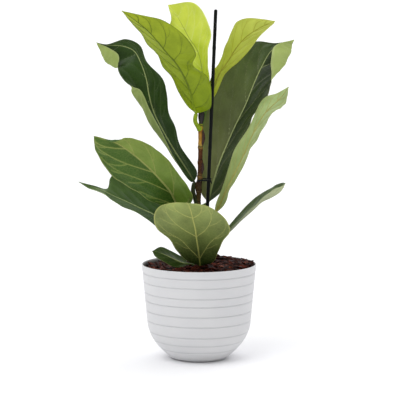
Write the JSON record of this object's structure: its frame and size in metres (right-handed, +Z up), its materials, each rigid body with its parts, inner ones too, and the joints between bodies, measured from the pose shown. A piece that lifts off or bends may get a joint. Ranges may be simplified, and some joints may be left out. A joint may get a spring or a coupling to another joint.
{
  "type": "potted houseplant",
  "caption": "Young fiddle leaf fig with broad upright leaves on a staked stem, planted in bark mulch in a round tapered pot with fine horizontal ribs.",
  "frame": {"origin": "centre of the pot's base, on the surface that the pot stands on", "axes": "+Z up along the pot's axis; -Y is the plant's front, +X its right as seen from the front"},
  "size_m": [0.3592, 0.212, 0.587],
  "materials": {
    "pot_plastic": "cool white satin plastic",
    "bark": "dark red-brown bark mulch",
    "stem_bark": "thin young bark, tan above and brown below",
    "stake_coating": "black-green plastic coating",
    "dry_sheath": "dry brown papery sheath",
    "young_leaf": "bright yellow-green, thin and soft",
    "mature_leaf": "dark waxy green above, pale green below"
  },
  "bodies": {
    "root": {"pot": "pot_plastic", "potting_soil": "bark", "stem": "stem_bark", "stake": "stake_coating", "tie": "stake_coating", "terminal_bud": "dry_sheath", "dry_stipule_upper": "dry_sheath", "dry_stipule_lower": "dry_sheath", "leaf_top_centre": "young_leaf", "leaf_top_left": "young_leaf", "leaf_top_right": "young_leaf", "leaf_right_large": "mature_leaf", "leaf_right_upper": "mature_leaf", "leaf_right_lower": "mature_leaf", "leaf_left_upper": "mature_leaf", "leaf_left_middle": "mature_leaf", "leaf_left_lower": "mature_leaf", "leaf_front": "mature_leaf", "leaf_front_small": "mature_leaf", "bark_chip_01": "bark", "bark_chip_02": "bark", "bark_chip_03": "bark", "bark_chip_04": "bark", "bark_chip_05": "bark", "bark_chip_06": "bark", "bark_chip_07": "bark", "bark_chip_08": "bark", "bark_chip_09": "bark", "bark_chip_10": "bark", "bark_chip_11": "bark", "bark_chip_12": "bark", "bark_chip_13": "bark", "bark_chip_14": "bark", "bark_chip_15": "bark", "bark_chip_16": "bark", "bark_chip_17": "bark", "bark_chip_18": "bark", "bark_chip_19": "bark", "bark_chip_20": "bark"}
  },
  "joints": []
}
